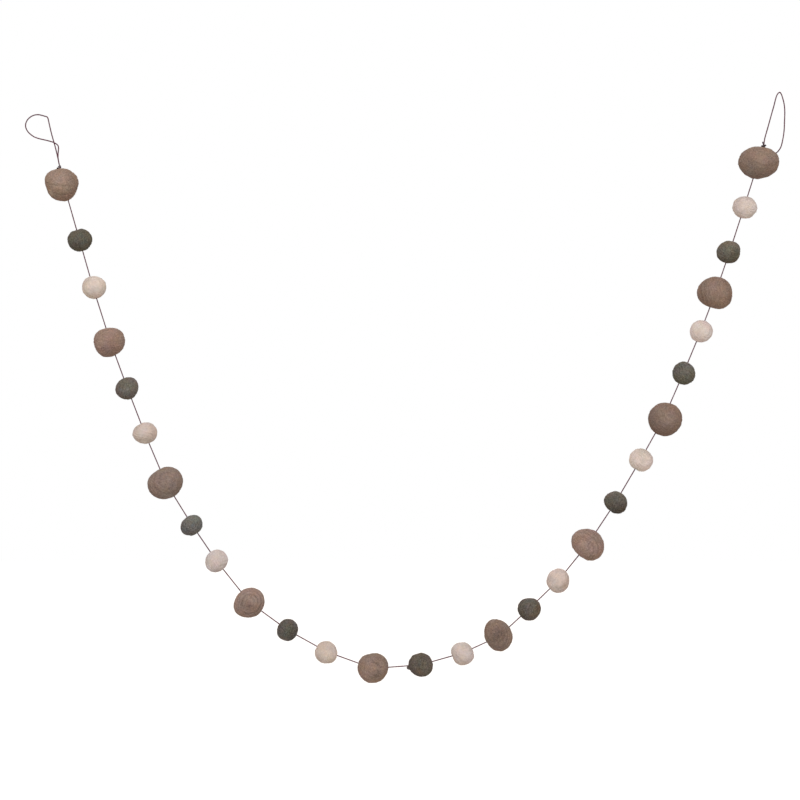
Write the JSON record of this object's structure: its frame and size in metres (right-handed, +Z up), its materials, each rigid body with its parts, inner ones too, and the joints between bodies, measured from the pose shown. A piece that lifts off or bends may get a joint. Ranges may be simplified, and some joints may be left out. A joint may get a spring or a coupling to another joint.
{
  "type": "felt ball garland",
  "caption": "Hanging garland of lumpy rolled-wool felt balls in two sizes on a thin waxed string, with a knotted hanging loop at each end.",
  "frame": {"origin": "where the left loop of string bears on what it hangs from", "axes": "+X along the garland to its right end, +Y away from the viewer, +Z up; the front faces -Y"},
  "size_m": [0.979, 0.0452, 0.7613],
  "materials": {
    "taupe_felt": "needle-soft mottled taupe wool felt, matt and fibrous",
    "green_felt": "dark olive-grey wool felt, matt and fibrous",
    "cream_felt": "pinkish cream wool felt, matt and fibrous",
    "waxed_string": "thin twisted mauve-grey waxed cotton string"
  },
  "bodies": {
    "root": {"ball_01": "taupe_felt", "ball_02": "green_felt", "ball_03": "cream_felt", "ball_04": "taupe_felt", "ball_05": "green_felt", "ball_06": "cream_felt", "ball_07": "taupe_felt", "ball_08": "green_felt", "ball_09": "cream_felt", "ball_10": "taupe_felt", "ball_11": "green_felt", "ball_12": "cream_felt", "ball_13": "taupe_felt", "ball_14": "green_felt", "ball_15": "cream_felt", "ball_16": "taupe_felt", "ball_17": "green_felt", "ball_18": "cream_felt", "ball_19": "taupe_felt", "ball_20": "green_felt", "ball_21": "cream_felt", "ball_22": "taupe_felt", "ball_23": "green_felt", "ball_24": "cream_felt", "ball_25": "taupe_felt", "ball_26": "green_felt", "ball_27": "cream_felt", "ball_28": "taupe_felt", "left_knot": "waxed_string", "right_knot": "waxed_string", "string": "waxed_string"}
  },
  "joints": []
}
